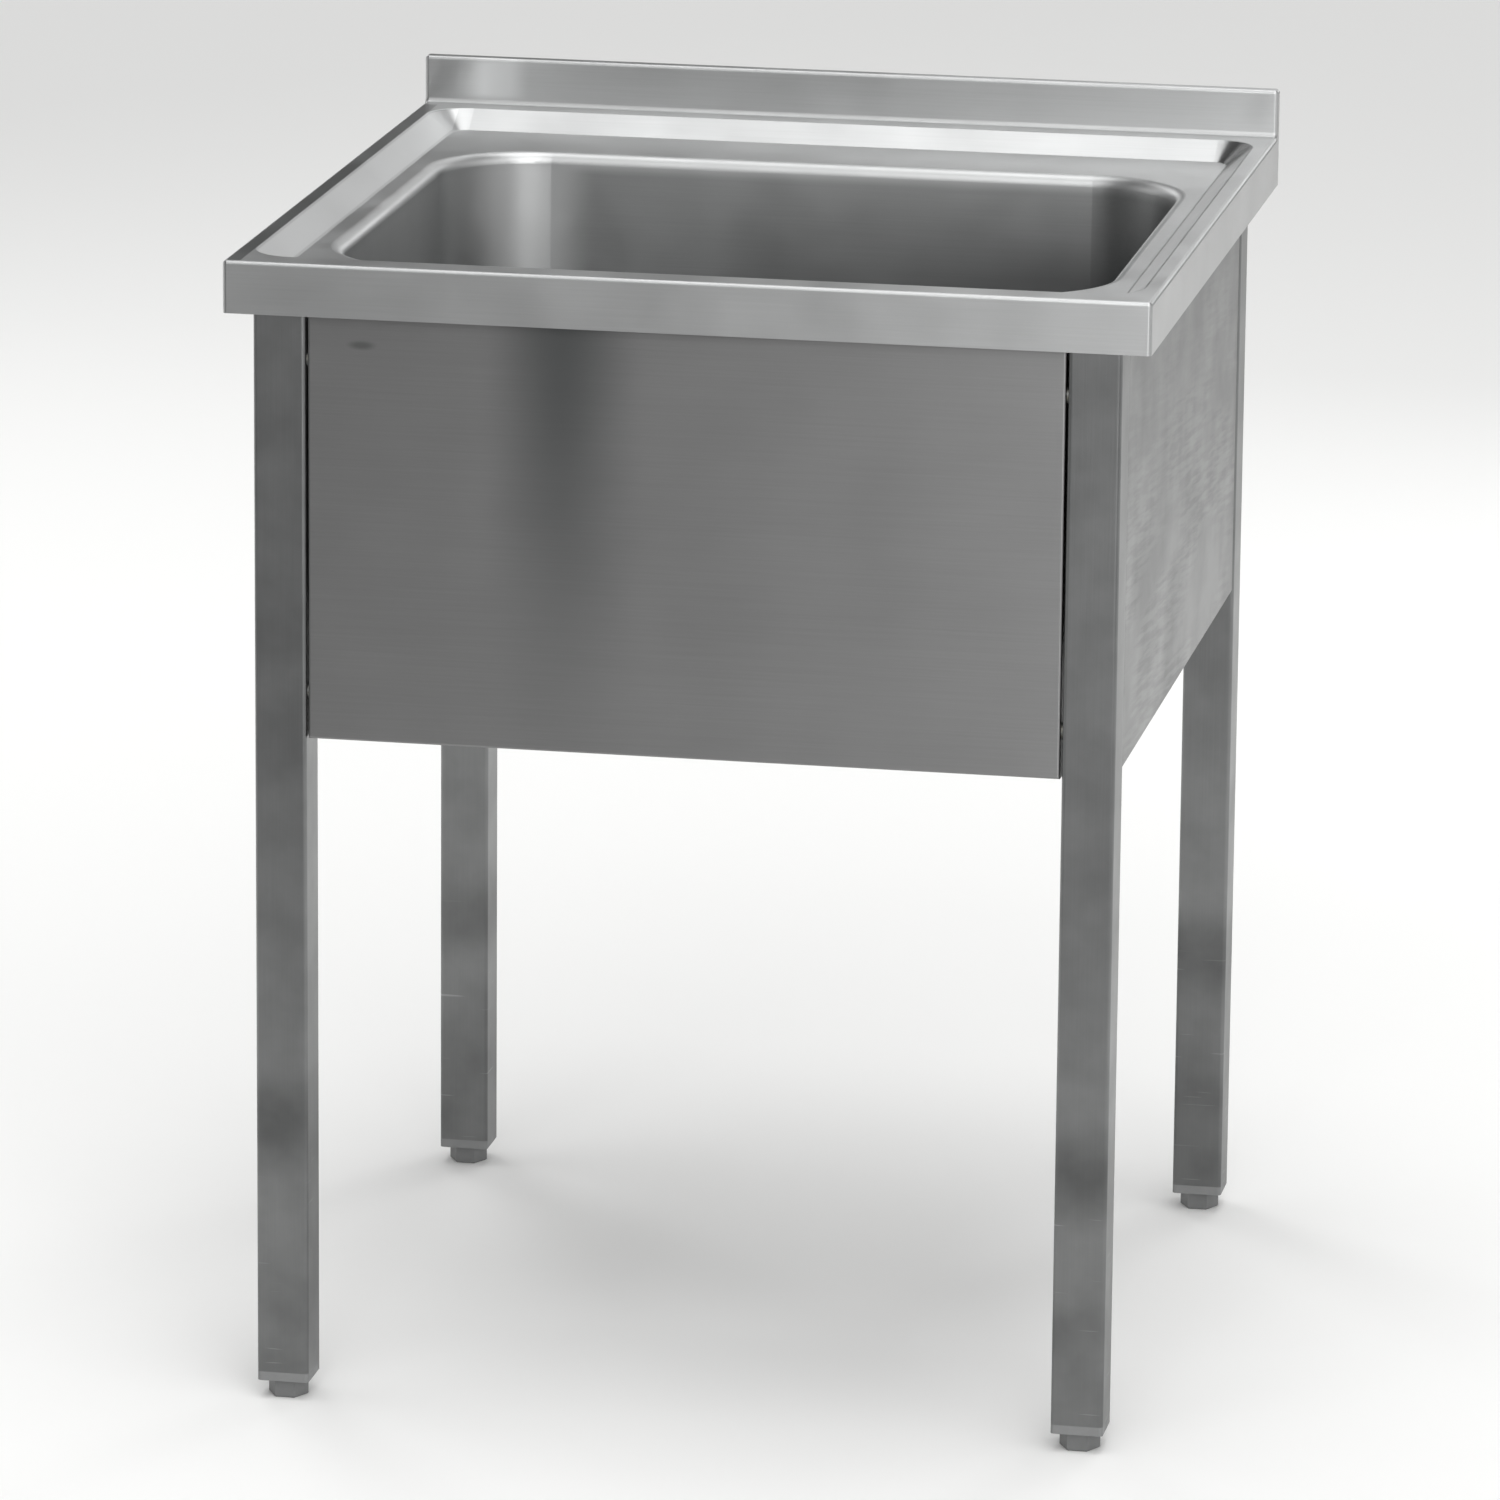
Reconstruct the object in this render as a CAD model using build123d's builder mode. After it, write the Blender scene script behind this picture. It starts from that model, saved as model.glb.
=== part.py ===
from build123d import *
import math
import os

# A stainless steel laundry sink: one deep bowl welded into a pressed 700 x 700 mm top with a low
# upstand at the back, sheet aprons at the front and sides, and four tube legs on adjustable feet.
#
# Millimetres. +Z is up, +X is to the user's right and the user stands at -Y. The origin is on the
# floor, under the middle of the top.

# ---- The pressed top
top_width = 700.0          # left to right, over the skirt
top_depth = 700.0          # front to back, upstand included
rim_height = 890.0         # rim above the floor with the feet screwed right in
top_sheet = 1.2
skirt_height = 40.0
hem_height = 10.0          # sheet folded back flat inside the skirt's lower edge
fold_radius = 3.0          # outside of the folds along the rim
upstand_height = 38.0
upstand_depth = 12.0
upstand_root = 4.0         # hollow radius where the rim turns up into the upstand
rim_side = 13.5            # flat rim left and right of the sunk surface
rim_front = 25.0
rim_back = 20.0            # flat rim between the sunk surface and the upstand
recess_depth = 15.0        # the sunk surface lies this far below the rim
recess_slope = 20.0        # plan width of the slope down to it
recess_corner = 12.0       # plan radius at the foot of the slope

# ---- The bowl
bowl_side_land = 12.5      # level sunk surface left and right of the bowl's lip
bowl_length = 475.0        # front wall to back wall
bowl_depth = 300.0         # sunk surface down to the edge of the drain's seat
bowl_front = 91.0          # front wall from the front of the top
bowl_sheet = 1.0
bowl_corner = 76.0         # plan radius of the walls
bowl_lip = 9.0             # radius of the rolled lip that meets the sunk surface
bowl_draft = 1.5           # degrees
bowl_heel = 45.0           # radius between walls and floor
floor_fall = 5.0           # fall of the dished floor towards the drain
floor_margin = 11.0        # level floor between the heel and the dish
drain_seat_margin = 4.0    # sunk seat for the waste, past its flange

# ---- The waste fitting, with a G 1 1/2 outlet thread
thread_radius = 23.9       # over the outlet's thread
outlet_length = 42.0
clamp_radius = 26.0        # over the thicker thread under the flange, which takes the nut
clamp_runout = 5.0         # of that thread, past the nut
waste_bore = 20.0          # radius
drain_clearance = 0.6      # clamping thread to the hole in the bowl
flange_radius = 40.0
flange_thickness = 3.0
flange_round = 1.5
seal_thickness = 2.0
seal_margin = 1.0          # flange past the seal's edge
washer_thickness = 3.0
washer_radius = 34.0
nut_thickness = 9.0
nut_flats = 60.0           # across flats
grid_radius = 30.0
grid_thickness = 1.5
grid_hole = 2.4            # radius
grid_pitch = 8.0           # between rings of holes

# ---- The legs and what joins them to the top
leg_size = 40.0
leg_wall = 1.5
leg_corner = 3.0
overhang_side = 22.0       # skirt past the legs' outer faces
overhang_front = 5.5
overhang_back = 12.0
socket_plate = 2.5         # plate welded under the sunk surface
socket_reach = 80.0        # side of that plate
socket_chamfer = 30.0
socket_length = 40.0       # stub inside the leg
socket_wall = 3.0
socket_clearance = 0.2     # stub to leg bore, each side
leg_screw_rows = (10.0, 30.0)   # down from the leg's top
leg_screw_offset = 11.0         # from the leg's middle, towards the middle of the sink

# ---- The feet
foot_height = 15.0         # leg's end above the floor, feet screwed right in
plug_rim = 7.0             # part of the end plug that shows below the tube
plug_depth = 25.0          # part of it inside the tube
plug_clearance = 0.1
stud_radius = 5.0          # M10
stud_length = 75.0
pad_flats = 27.0           # across flats
pad_floor = 3.0            # left under the stud
foot_clearance = 0.3       # pad to plug, so that the pad turns freely
thread_clearance = 0.05
end_clearance = 0.1        # under the stud's end

# ---- Aprons and rear rail
panel_sheet = 1.0
panel_return = 20.0        # depth of the folded edges
panel_bend = 2.0           # outside radius of the bends
panel_setback = 1.0        # behind the legs' outer faces
panel_gap = 1.5            # to the legs, the thickness of a rivet nut's head
apron_height = 345.0
rail_height = 120.0
screw_from_top = 55.0      # upper screws, from the panel's top edge
screw_from_bottom = 35.0

# ---- M6 screws and rivet nuts
screw_radius = 3.0
screw_clearance = 0.05
screw_head_radius = 5.25
screw_head_height = 3.3
screw_head_round = 2.0
screw_key = 4.0            # hexagon key, across flats
screw_key_depth = 2.0
panel_screw_length = 12.0
leg_screw_length = 8.0
rivet_radius = 4.5
rivet_head_radius = 6.5
rivet_length = 12.0        # inside the leg, from its face

edge_bevel = 1.0           # on turned and moulded edges
overshoot = 1.0            # of a cut past the faces it goes through

# ---- Places that follow from the sizes above
half_width = top_width / 2
half_depth = top_depth / 2
sunk_z = rim_height - recess_depth
upstand_y = half_depth - upstand_depth
slope_angle = math.degrees(math.atan2(recess_slope, recess_depth))
recess_width = top_width - 2 * (rim_side + recess_slope)
recess_front = -half_depth + rim_front + recess_slope
recess_back = upstand_y - rim_back - recess_slope
recess_length = recess_back - recess_front
recess_y = (recess_front + recess_back) / 2

bowl_width = recess_width - 2 * (bowl_side_land + bowl_lip)   # between the walls, under the lip
bowl_y = bowl_front + bowl_length / 2 - half_depth
bowl_top = sunk_z - bowl_lip
drain_z = sunk_z - bowl_depth
drain_seat_radius = flange_radius + drain_seat_margin
drain_seat_z = drain_z - flange_thickness - seal_thickness
floor_z = drain_z + floor_fall
wall_lean = math.tan(math.radians(bowl_draft))

leg_x = half_width - overhang_side - leg_size / 2
leg_front_y = -half_depth + overhang_front + leg_size / 2
leg_back_y = half_depth - overhang_back - leg_size / 2
leg_bore = leg_size - 2 * leg_wall
leg_bottom = foot_height + plug_rim
leg_top = sunk_z - top_sheet - socket_plate
corners = {
    "front_left": (-1, -1),
    "front_right": (1, -1),
    "back_left": (-1, 1),
    "back_right": (1, 1),
}

panel_top = leg_top - panel_gap
panel_front_y = leg_front_y - leg_size / 2 + panel_setback
panel_back_y = leg_back_y + leg_size / 2 - panel_setback
panel_side_x = leg_x + leg_size / 2 - panel_setback
front_panel_width = 2 * (leg_x - leg_size / 2 - panel_gap)
side_panel_width = leg_back_y - leg_front_y - leg_size - 2 * panel_gap
side_panel_y = (leg_front_y + leg_back_y) / 2
apron_screw_rows = (screw_from_top, apron_height - screw_from_bottom)   # down from the top edge
rail_screw_rows = (screw_from_top, rail_height - screw_from_bottom)


def leg_place(corner):
    """The middle of a leg, in plan."""
    side, end = corners[corner]
    return side * leg_x, leg_back_y if end > 0 else leg_front_y


def panel_seats(corner):
    """Where a panel's screws enter a leg: planes on the leg's faces that point away from it."""
    side, end = corners[corner]
    x, y = leg_place(corner)
    across_y = panel_back_y - panel_return / 2 if end > 0 else panel_front_y + panel_return / 2
    across_rows = rail_screw_rows if end > 0 else apron_screw_rows
    along_x = side * (panel_side_x - panel_return / 2)
    seats = []
    for row in across_rows:
        face = (x - side * leg_size / 2, across_y, panel_top - row)
        seats.append(Plane(origin=face, z_dir=(-side, 0, 0)))
    for row in apron_screw_rows:
        face = (along_x, y - end * leg_size / 2, panel_top - row)
        seats.append(Plane(origin=face, z_dir=(0, -end, 0)))
    return seats


def leg_screw_seats(corner):
    """Where the screws that hold a leg on its socket enter the leg."""
    side, end = corners[corner]
    x, y = leg_place(corner)
    seats = []
    for row in leg_screw_rows:
        face = (x - side * leg_size / 2, y - end * leg_screw_offset, leg_top - row)
        seats.append(Plane(origin=face, z_dir=(-side, 0, 0)))
    return seats


def flat_face(part, height):
    """The level face of a part at a height."""
    level = part.faces().filter_by(Axis.Z).filter_by_position(Axis.Z, height - 0.01, height + 0.01)
    return level.sort_by(SortBy.AREA)[-1]


# ---- The pressed top is one block less the same block drawn in by the sheet's thickness
def top_block(inset, foot):
    """The space under the pressed top's outer skin, drawn in by inset, from the height foot up."""
    crest = rim_height - inset
    fold = fold_radius - inset
    spread = inset * math.tan(math.radians(90 - slope_angle) / 2)
    with BuildPart() as block:
        with BuildSketch(Plane.XY.offset(foot)):
            Rectangle(top_width - 2 * inset, top_depth - 2 * inset)
        extrude(amount=crest - foot)
        with BuildSketch(Plane.XY.offset(crest)):
            with Locations((0, half_depth - upstand_depth / 2)):
                Rectangle(top_width - 2 * inset, upstand_depth - 2 * inset)
        extrude(amount=upstand_height)
        # the fold at the foot of the upstand comes first, so that the side folds can run up it
        rim_and_upstand = block.edges().filter_by(Axis.X).group_by(Axis.Z)
        fillet(rim_and_upstand[1].sort_by(Axis.Y)[-1], upstand_root + inset)
        fillet(block.edges().filter_by(Axis.Z).group_by(Axis.Y)[0], fold)
        fillet(block.edges().filter_by(Axis.Z).group_by(Axis.Y)[-1], fold)
        rim_edge = flat_face(block, crest).outer_wire().edges()
        fillet(rim_edge.filter_by(Axis.Y) + rim_edge.filter_by(Axis.X).sort_by(Axis.Y)[:1], fold)
        with BuildSketch(Plane.XY.offset(crest - recess_depth)):
            with Locations((0, recess_y)):
                RectangleRounded(
                    recess_width + 2 * spread, recess_length + 2 * spread, recess_corner + spread
                )
        extrude(amount=recess_depth, taper=-slope_angle, mode=Mode.SUBTRACT)
        fillet(flat_face(block, crest).inner_wires()[0].edges(), fold)
        fillet(flat_face(block, crest - recess_depth).outer_wire().edges(), fold_radius + inset)
        fillet(block.edges().filter_by(Axis.X).group_by(Axis.Z)[-1], fold)
    return block.part


os.makedirs("parts", exist_ok=True)

skin = top_block(0, rim_height - skirt_height)
space_below = top_block(top_sheet, rim_height - skirt_height - overshoot)
hem_inside = top_sheet * 2

with BuildPart() as worktop:
    add(skin)
    add(space_below, mode=Mode.SUBTRACT)
    with BuildSketch(Plane.XY.offset(rim_height - skirt_height)) as hem:
        RectangleRounded(top_width - 2 * top_sheet, top_depth - 2 * top_sheet, fold_radius - top_sheet)
        Rectangle(top_width - 2 * hem_inside, top_depth - 2 * hem_inside, mode=Mode.SUBTRACT)
    extrude(amount=hem_height)
    with BuildSketch(Plane.XY.offset(sunk_z)) as bowl_opening:
        with Locations((0, bowl_y)):
            RectangleRounded(bowl_width + 2 * bowl_lip, bowl_length + 2 * bowl_lip, bowl_corner + bowl_lip)
    extrude(amount=-2 * top_sheet, mode=Mode.SUBTRACT)
worktop.part.label = "worktop"
export_step(worktop.part, "parts/worktop.step")


# ---- The bowl's drawn body is made in the same way, and its rolled lip is swept round it
dish_radius = bowl_length / 2 - wall_lean * (bowl_top - floor_z) - bowl_heel - floor_margin


def bowl_block(outset):
    """The space in the bowl below its lip, grown by outset."""
    with BuildPart() as block:
        with BuildSketch(Plane.XY.offset(bowl_top)):
            with Locations((0, bowl_y)):
                RectangleRounded(bowl_width + 2 * outset, bowl_length + 2 * outset, bowl_corner + outset)
        extrude(amount=floor_z - outset - bowl_top, taper=bowl_draft)
        fillet(flat_face(block, floor_z - outset).outer_wire().edges(), bowl_heel + outset)
        with BuildSketch(Plane.XZ.offset(-bowl_y)) as dish:
            with BuildLine():
                Polyline(
                    (0, bowl_top),
                    (dish_radius, bowl_top),
                    (dish_radius, floor_z - outset),
                    (drain_seat_radius + outset, drain_z - outset),
                    (drain_seat_radius + outset, drain_seat_z - outset),
                    (0, drain_seat_z - outset),
                    close=True,
                )
            make_face()
        revolve(axis=Axis((0, bowl_y, 0), (0, 0, 1)))
    return block.part


bowl_outside = bowl_block(bowl_sheet)
bowl_inside = bowl_block(0)

with BuildPart() as bowl:
    add(bowl_outside)
    add(bowl_inside, mode=Mode.SUBTRACT)
    with BuildLine(Plane.XY.offset(bowl_top)) as mouth:
        FilletPolyline(
            (-bowl_width / 2, bowl_y - bowl_length / 2),
            (bowl_width / 2, bowl_y - bowl_length / 2),
            (bowl_width / 2, bowl_y + bowl_length / 2),
            (-bowl_width / 2, bowl_y + bowl_length / 2),
            radius=bowl_corner,
            close=True,
        )
    outwards = (mouth.line % 0).cross(Vector(0, 0, 1))
    lip_plane = Plane(origin=mouth.line @ 0, x_dir=outwards, z_dir=-(mouth.line % 0))
    with BuildSketch(lip_plane) as lip:
        with BuildLine():
            CenterArc((bowl_lip, 0), bowl_lip, 90, 90)
            CenterArc((bowl_lip, 0), bowl_lip - bowl_sheet, 90, 90)
            Line((0, 0), (bowl_sheet, 0))
            Line((bowl_lip, bowl_lip), (bowl_lip, bowl_lip - bowl_sheet))
        make_face()
    sweep(path=mouth.line)
    with BuildSketch(Plane.XY.offset(drain_seat_z)) as drain_hole:
        with Locations((0, bowl_y)):
            Circle(clamp_radius + drain_clearance)
    extrude(amount=-2 * bowl_sheet, mode=Mode.SUBTRACT)
bowl.part.label = "bowl"
export_step(bowl.part, "parts/bowl.step")


# ---- Aprons and the rear rail: sheets folded back along all four edges
def sheet_block(width, height, inset):
    """The space behind a folded panel's outer skin, drawn in by inset and open at the back."""
    with BuildPart() as block:
        with Locations((0, 0, -inset)):
            Box(
                width - 2 * inset,
                height - 2 * inset,
                panel_return,
                align=(Align.CENTER, Align.CENTER, Align.MAX),
            )
        fillet(block.faces().sort_by(Axis.Z)[-1].edges(), panel_bend - inset)
    return block.part


def folded_panel(face, width, height, screw_rows):
    """A panel in the plane face, with screw holes through its left and right folded edges."""
    skin = sheet_block(width, height, 0)
    hollow = sheet_block(width, height, panel_sheet)
    with BuildPart(face) as panel:
        add(skin)
        add(hollow, mode=Mode.SUBTRACT)
        for row in screw_rows:
            with Locations(Location((0, height / 2 - row, -panel_return / 2), (0, 90, 0))):
                Hole(screw_radius + screw_clearance)
    return panel.part


apron_z = panel_top - apron_height / 2
rail_z = panel_top - rail_height / 2

front_face = Plane(origin=(0, panel_front_y, apron_z), x_dir=(1, 0, 0), z_dir=(0, -1, 0))
front_apron = folded_panel(front_face, front_panel_width, apron_height, apron_screw_rows)
front_apron.label = "front_apron"
export_step(front_apron, "parts/front_apron.step")

for side, name in ((-1, "left_apron"), (1, "right_apron")):
    side_face = Plane(
        origin=(side * panel_side_x, side_panel_y, apron_z), x_dir=(0, side, 0), z_dir=(side, 0, 0)
    )
    side_apron = folded_panel(side_face, side_panel_width, apron_height, apron_screw_rows)
    side_apron.label = name
    export_step(side_apron, f"parts/{name}.step")

back_face = Plane(origin=(0, panel_back_y, rail_z), x_dir=(-1, 0, 0), z_dir=(0, 1, 0))
rear_rail = folded_panel(back_face, front_panel_width, rail_height, rail_screw_rows)
rear_rail.label = "rear_rail"
export_step(rear_rail, "parts/rear_rail.step")


# ---- Legs, their sockets under the top, and their end plugs
socket_outside = leg_bore - 2 * socket_clearance
socket_inside = socket_outside - 2 * socket_wall
plug_inside = leg_bore - 2 * plug_clearance

for corner, (side, end) in corners.items():
    x, y = leg_place(corner)

    with BuildPart() as leg:
        with BuildSketch(Plane.XY.offset(leg_bottom)) as tube:
            with Locations((x, y)):
                RectangleRounded(leg_size, leg_size, leg_corner)
                RectangleRounded(leg_bore, leg_bore, leg_corner - leg_wall, mode=Mode.SUBTRACT)
        extrude(amount=leg_top - leg_bottom)
        # each hole goes through one wall of the tube
        with Locations(*panel_seats(corner)):
            Hole(rivet_radius + screw_clearance, depth=leg_wall + overshoot)
        with Locations(*leg_screw_seats(corner)):
            Hole(screw_radius + screw_clearance, depth=leg_wall + overshoot)
    leg.part.label = f"leg_{corner}"
    export_step(leg.part, f"parts/leg_{corner}.step")

    # the plate reaches from just outside the leg in under the sunk surface, where it is welded
    plate_x = x + side * (leg_size / 2 + panel_gap - socket_reach / 2)
    plate_y = y + end * (leg_size / 2 + panel_gap - socket_reach / 2)
    with BuildPart() as socket:
        with BuildSketch(Plane.XY.offset(leg_top)):
            with Locations((plate_x, plate_y)):
                plate = Rectangle(socket_reach, socket_reach)
            inner_corner = plate.vertices().sort_by_distance((0, 0, 0))[0]
            chamfer(inner_corner, socket_chamfer)
        extrude(amount=socket_plate)
        with BuildSketch(Plane.XY.offset(leg_top)):
            with Locations((x, y)):
                RectangleRounded(socket_outside, socket_outside, leg_corner - leg_wall)
                Rectangle(socket_inside, socket_inside, mode=Mode.SUBTRACT)
        extrude(amount=-socket_length)
        with Locations(*leg_screw_seats(corner)):
            Hole(screw_radius, depth=leg_wall + socket_clearance + socket_wall + overshoot)
    socket.part.label = f"socket_{corner}"
    export_step(socket.part, f"parts/socket_{corner}.step")

    with BuildPart() as plug:
        with BuildSketch(Plane.XY.offset(foot_height)):
            with Locations((x, y)):
                RectangleRounded(leg_size, leg_size, leg_corner)
        extrude(amount=plug_rim)
        with BuildSketch(Plane.XY.offset(leg_bottom)):
            with Locations((x, y)):
                RectangleRounded(plug_inside, plug_inside, leg_corner - leg_wall)
        extrude(amount=plug_depth)
        chamfer(plug.faces().sort_by(Axis.Z)[-1].edges(), edge_bevel)
        with Locations((x, y, leg_bottom + plug_depth)):
            Hole(stud_radius + thread_clearance)
    plug.part.label = f"plug_{corner}"
    export_step(plug.part, f"parts/plug_{corner}.step")


# ---- Feet: a threaded stud that runs in the plug, and the hexagonal pad that turns it
pad_height = foot_height - foot_clearance

for corner in corners:
    x, y = leg_place(corner)

    with BuildPart() as stud:
        with BuildSketch(Plane.XY.offset(pad_floor + end_clearance)):
            with Locations((x, y)):
                Circle(stud_radius)
        extrude(amount=stud_length)
        chamfer(stud.faces().filter_by(Axis.Z).sort_by(Axis.Z)[-1].edges(), edge_bevel)
    stud.part.label = f"foot_stud_{corner}"
    export_step(stud.part, f"parts/foot_stud_{corner}.step")

    with BuildPart() as pad:
        with BuildSketch(Plane.XY):
            with Locations((x, y)):
                RegularPolygon(pad_flats / 2, 6, major_radius=False)
        extrude(amount=pad_height)
        chamfer(pad.faces().filter_by(Axis.Z).edges(), edge_bevel)
        with BuildSketch(Plane.XY.offset(pad_floor)):
            with Locations((x, y)):
                Circle(stud_radius + thread_clearance)
        extrude(amount=pad_height, mode=Mode.SUBTRACT)
    pad.part.label = f"foot_pad_{corner}"
    export_step(pad.part, f"parts/foot_pad_{corner}.step")


# ---- Waste fitting, stacked on the axis of the drain
seal_top = drain_z - flange_thickness
washer_top = drain_seat_z - bowl_sheet
nut_top = washer_top - washer_thickness
clamp_bottom = nut_top - nut_thickness - clamp_runout

with BuildPart() as waste_body:
    with BuildSketch(Plane.XY.offset(seal_top)) as flange:
        with Locations((0, bowl_y)):
            Circle(flange_radius)
    extrude(amount=flange_thickness)
    fillet(waste_body.faces().sort_by(Axis.Z)[-1].edges(), flange_round)
    with BuildSketch(Plane.XY.offset(seal_top)) as clamp:
        with Locations((0, bowl_y)):
            Circle(clamp_radius)
    extrude(amount=clamp_bottom - seal_top)
    with BuildSketch(Plane.XY.offset(clamp_bottom)) as outlet:
        with Locations((0, bowl_y)):
            Circle(thread_radius)
    extrude(amount=-outlet_length)
    chamfer(waste_body.faces().sort_by(Axis.Z)[0].edges(), edge_bevel)
    with BuildSketch(Plane.XY.offset(drain_z)) as grid_seat:
        with Locations((0, bowl_y)):
            Circle(grid_radius)
    extrude(amount=-grid_thickness, mode=Mode.SUBTRACT)
    with Locations((0, bowl_y, drain_z)):
        Hole(waste_bore)
waste_body.part.label = "waste_body"
export_step(waste_body.part, "parts/waste_body.step")

with BuildPart() as waste_grid:
    with BuildSketch(Plane.XY.offset(drain_z)) as disc:
        with Locations((0, bowl_y)):
            Circle(grid_radius - screw_clearance)
            Circle(grid_hole, mode=Mode.SUBTRACT)
            for ring in (1, 2):
                with PolarLocations(ring * grid_pitch, 6 * ring):
                    Circle(grid_hole, mode=Mode.SUBTRACT)
    extrude(amount=-grid_thickness)
waste_grid.part.label = "waste_grid"
export_step(waste_grid.part, "parts/waste_grid.step")

rings = {
    "waste_seal": (seal_top, seal_thickness, flange_radius - seal_margin),
    "waste_washer": (washer_top, washer_thickness, washer_radius),
}
for name, (top, thickness, radius) in rings.items():
    with BuildPart() as ring:
        with BuildSketch(Plane.XY.offset(top)):
            with Locations((0, bowl_y)):
                Circle(radius)
                Circle(clamp_radius + drain_clearance, mode=Mode.SUBTRACT)
        extrude(amount=-thickness)
    ring.part.label = name
    export_step(ring.part, f"parts/{name}.step")

with BuildPart() as waste_nut:
    with BuildSketch(Plane.XY.offset(nut_top)):
        with Locations((0, bowl_y)):
            RegularPolygon(nut_flats / 2, 6, major_radius=False)
    extrude(amount=-nut_thickness)
    chamfer(waste_nut.faces().sort_by(Axis.Z)[0].edges(), edge_bevel)
    with Locations((0, bowl_y, nut_top)):
        Hole(clamp_radius + screw_clearance)
waste_nut.part.label = "waste_nut"
export_step(waste_nut.part, "parts/waste_nut.step")


# ---- Fasteners, drawn pointing down the Z axis and then set on their seats
def button_screw(length):
    """An M6 button head screw whose head rests on the plane Z = 0."""
    with BuildPart() as screw:
        with BuildSketch():
            Circle(screw_head_radius)
        extrude(amount=screw_head_height)
        fillet(screw.faces().sort_by(Axis.Z)[-1].edges(), screw_head_round)
        with BuildSketch():
            Circle(screw_radius - screw_clearance)
        extrude(amount=-length)
        with BuildSketch(Plane.XY.offset(screw_head_height)):
            RegularPolygon(screw_key / 2, 6, major_radius=False)
        extrude(amount=-screw_key_depth, mode=Mode.SUBTRACT)
    return screw.part


with BuildPart() as rivet_nut:
    with BuildSketch():
        Circle(rivet_head_radius)
    extrude(amount=panel_gap)
    with BuildSketch():
        Circle(rivet_radius)
    extrude(amount=-rivet_length)
    Hole(screw_radius)

nut_places = [seat for corner in corners for seat in panel_seats(corner)]
with BuildPart() as rivet_nuts:
    with Locations(*nut_places):
        add(rivet_nut)
rivet_nuts.part.label = "rivet_nuts"
export_step(rivet_nuts.part, "parts/rivet_nuts.step")

panel_screw = button_screw(panel_screw_length)
with BuildPart() as panel_screws:
    with Locations(*[seat.offset(panel_gap + panel_sheet) for seat in nut_places]):
        add(panel_screw)
panel_screws.part.label = "panel_screws"
export_step(panel_screws.part, "parts/panel_screws.step")

leg_screw = button_screw(leg_screw_length)
leg_screw_places = [seat for corner in corners for seat in leg_screw_seats(corner)]
with BuildPart() as leg_screws:
    with Locations(*leg_screw_places):
        add(leg_screw)
leg_screws.part.label = "leg_screws"
export_step(leg_screws.part, "parts/leg_screws.step")
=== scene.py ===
# %% [markdown]
# # A stainless steel laundry sink
#
# The object is a free-standing sink of the kind used in laundries and kitchens: a pressed stainless
# top with one deep bowl, folded sheet aprons, and four square tube legs on screw feet.
#
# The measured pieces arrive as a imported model, already at their real size in metres and in their
# places. This lesson dresses them. It gives every surface the finish that its making leaves on it,
# cuts the screw threads, and lights the whole as a studio would.

# %% Load the measured pieces
import math

import bmesh
import bpy
from mathutils import Matrix, Vector


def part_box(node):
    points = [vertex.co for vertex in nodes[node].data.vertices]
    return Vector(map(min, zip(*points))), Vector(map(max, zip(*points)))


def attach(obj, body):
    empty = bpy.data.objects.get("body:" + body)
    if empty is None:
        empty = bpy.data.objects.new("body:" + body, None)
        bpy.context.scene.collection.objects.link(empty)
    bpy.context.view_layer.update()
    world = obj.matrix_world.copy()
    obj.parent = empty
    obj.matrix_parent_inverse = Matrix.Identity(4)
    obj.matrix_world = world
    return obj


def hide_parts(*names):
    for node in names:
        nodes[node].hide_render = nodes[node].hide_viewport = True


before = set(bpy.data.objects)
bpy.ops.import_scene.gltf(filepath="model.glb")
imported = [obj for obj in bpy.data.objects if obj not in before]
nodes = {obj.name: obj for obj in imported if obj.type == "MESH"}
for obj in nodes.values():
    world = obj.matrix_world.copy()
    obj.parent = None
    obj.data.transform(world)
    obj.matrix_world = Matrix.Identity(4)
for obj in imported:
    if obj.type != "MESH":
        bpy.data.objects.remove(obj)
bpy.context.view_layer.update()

# %% [markdown]
# ## Words and helpers that every material uses
#
# Colours are written as the hex values that a screen shows. A shader works with linear light, so one
# function turns hex to linear. One more function adds a node to a material with its settings, its
# values and its links in one call, which keeps each material short enough to read as a recipe.
# Pattern sizes are written in millimetres, and `per_metre` turns a spacing into a texture scale.

# %% Colour, node and scale helpers
CORNERS = ("front_left", "front_right", "back_left", "back_right")
MM = 0.001


def linear(hex_colour):
    """An sRGB hex value as linear red, green, blue and alpha."""
    parts = [int(hex_colour[i:i + 2], 16) / 255 for i in (1, 3, 5)]
    return [c / 12.92 if c <= 0.04045 else ((c + 0.055) / 1.055) ** 2.4 for c in parts] + [1.0]


def add_node(tree, kind, values=None, links=None, **settings):
    """A new node with its settings, its sockets' values and the sockets that feed it."""
    node = tree.nodes.new(kind)
    for name, value in settings.items():
        setattr(node, name, value)
    for socket, value in (values or {}).items():
        node.inputs[socket].default_value = value
    for socket, source in (links or {}).items():
        tree.links.new(source, node.inputs[socket])
    return node


def per_metre(spacing_mm):
    """The texture scale that repeats a feature every so many millimetres."""
    return 1 / (spacing_mm * MM)


def new_material(name):
    """An empty material with its output node, and the coordinates of the object's own frame."""
    material = bpy.data.materials.new(name)
    material.use_nodes = True
    tree = material.node_tree
    tree.nodes.clear()
    output = add_node(tree, "ShaderNodeOutputMaterial")
    place = add_node(tree, "ShaderNodeTexCoord").outputs["Object"]
    return material, tree, output, place


def paint(material, *names):
    """Gives a material to carried-over pieces."""
    for name in names:
        for material_slot in nodes[name].material_slots:
            material_slot.material = material


print("the middle grey #808080 is", [round(c, 3) for c in linear("#808080")])

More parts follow.
